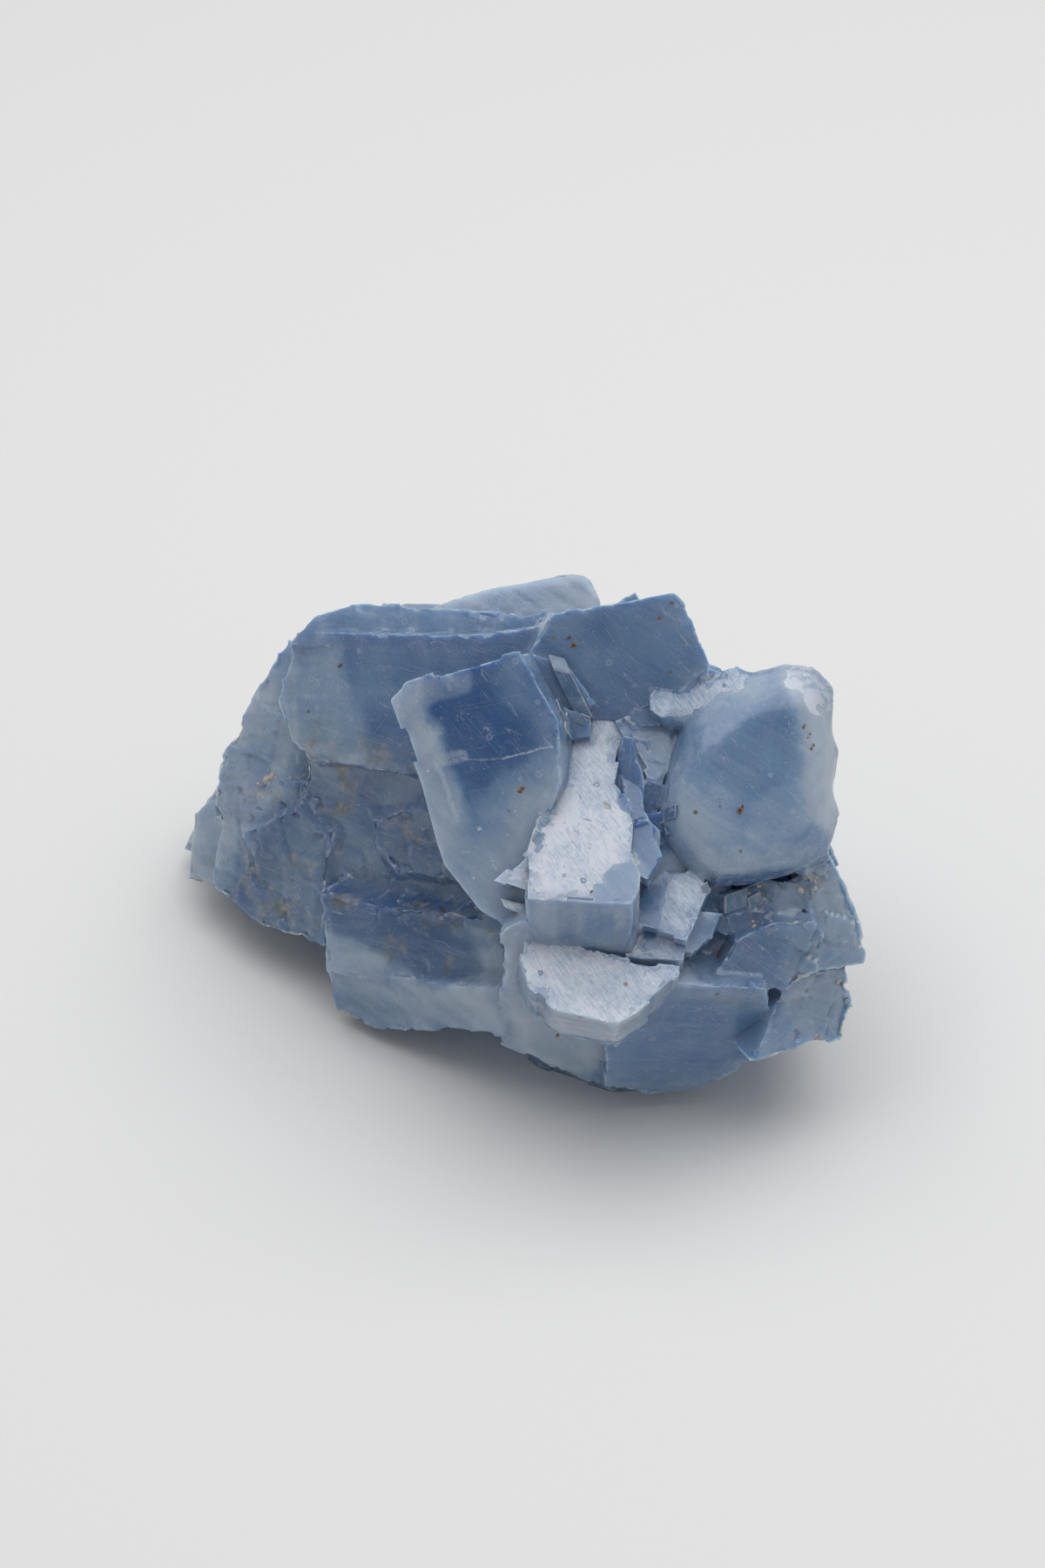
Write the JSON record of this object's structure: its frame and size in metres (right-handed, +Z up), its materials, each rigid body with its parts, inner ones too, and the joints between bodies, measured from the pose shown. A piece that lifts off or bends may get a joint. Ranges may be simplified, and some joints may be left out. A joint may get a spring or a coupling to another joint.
{
  "type": "mineral specimen",
  "caption": "Raw blue calcite: cleaved rhombs and stepped plates grown into one another as a single rough piece that rests on a flat patch",
  "frame": {"origin": "under the middle of the bounding box, on the plane that the piece rests on", "axes": "+Z up; -Y towards the front, where the stair of bright cleavage steps is; +X to the right of someone who looks at the front"},
  "size_m": [0.0626, 0.0624, 0.0478],
  "materials": {
    "calcite": "satin"
  },
  "bodies": {
    "root": {"calcite_cluster": "calcite"}
  },
  "joints": []
}
